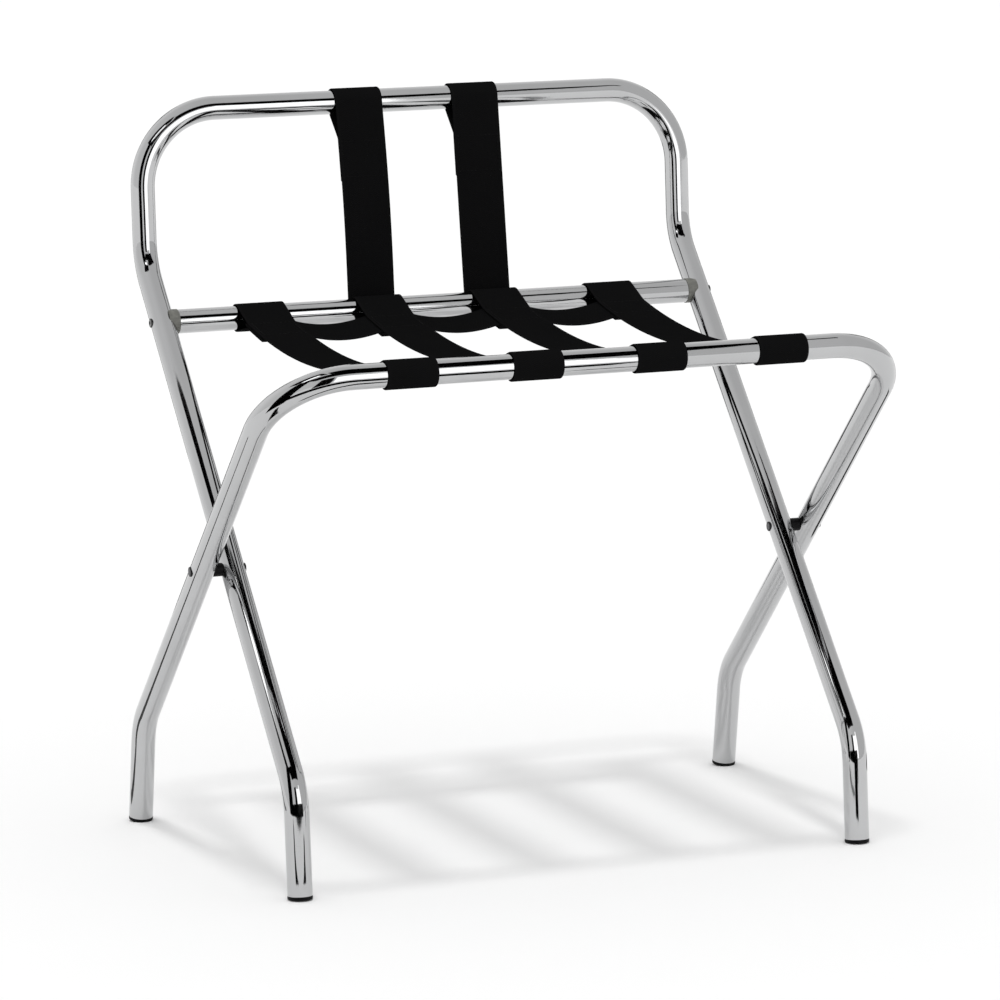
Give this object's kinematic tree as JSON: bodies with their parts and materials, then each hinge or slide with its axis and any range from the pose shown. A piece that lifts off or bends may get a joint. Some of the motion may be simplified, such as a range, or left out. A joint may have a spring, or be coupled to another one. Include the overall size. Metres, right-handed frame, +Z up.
{
  "type": "folding luggage rack",
  "caption": "Folding luggage rack with a backrest: bent tube frames that cross at side pivots, a rear crossbar, webbing seat and back straps, and plastic foot caps.",
  "frame": {"origin": "on the floor under the middle of the open rack's bounding box", "axes": "+X to the right as seen from the front, +Y to the back where the backrest is, +Z up"},
  "size_m": [0.6914, 0.5244, 0.7484],
  "materials": {
    "chrome_tube": "bright chrome-plated steel tube",
    "fastener_steel": "dull dark steel rivets, screws and inserts",
    "black_plastic": "black moulded plastic, satin",
    "grey_plastic": "dark grey moulded plastic, matte",
    "webbing": "black woven webbing, matte with a slight sheen"
  },
  "bodies": {
    "back_frame": {"back_frame_tube": "chrome_tube", "rear_crossbar": "chrome_tube", "crossbar_saddle_left": "grey_plastic", "crossbar_saddle_right": "grey_plastic", "crossbar_insert_left": "fastener_steel", "crossbar_insert_right": "fastener_steel", "crossbar_screw_left": "fastener_steel", "crossbar_screw_right": "fastener_steel", "inner_pivot_spacer_left": "black_plastic", "inner_pivot_spacer_right": "black_plastic", "front_foot_cap_left": "black_plastic", "front_foot_cap_right": "black_plastic", "seat_strap_left_outer": "webbing", "seat_strap_left_inner": "webbing", "seat_strap_right_inner": "webbing", "seat_strap_right_outer": "webbing", "cross_strap": "webbing", "back_strap_left": "webbing", "back_strap_right": "webbing"},
    "front_frame": {"front_frame_tube": "chrome_tube", "pivot_rivet_left": "fastener_steel", "pivot_rivet_right": "fastener_steel", "outer_pivot_spacer_left": "black_plastic", "outer_pivot_spacer_right": "black_plastic", "rear_foot_cap_left": "black_plastic", "rear_foot_cap_right": "black_plastic"}
  },
  "joints": [
    {"name": "fold", "type": "hinge", "parent": "back_frame", "child": "front_frame", "pos_m": [0, -0.01917, 0.298], "axis": [-1, 0, 0], "range_deg": [0, 83], "deforming": ["seat_strap_left_outer", "seat_strap_left_inner", "seat_strap_right_inner", "seat_strap_right_outer"]}
  ]
}
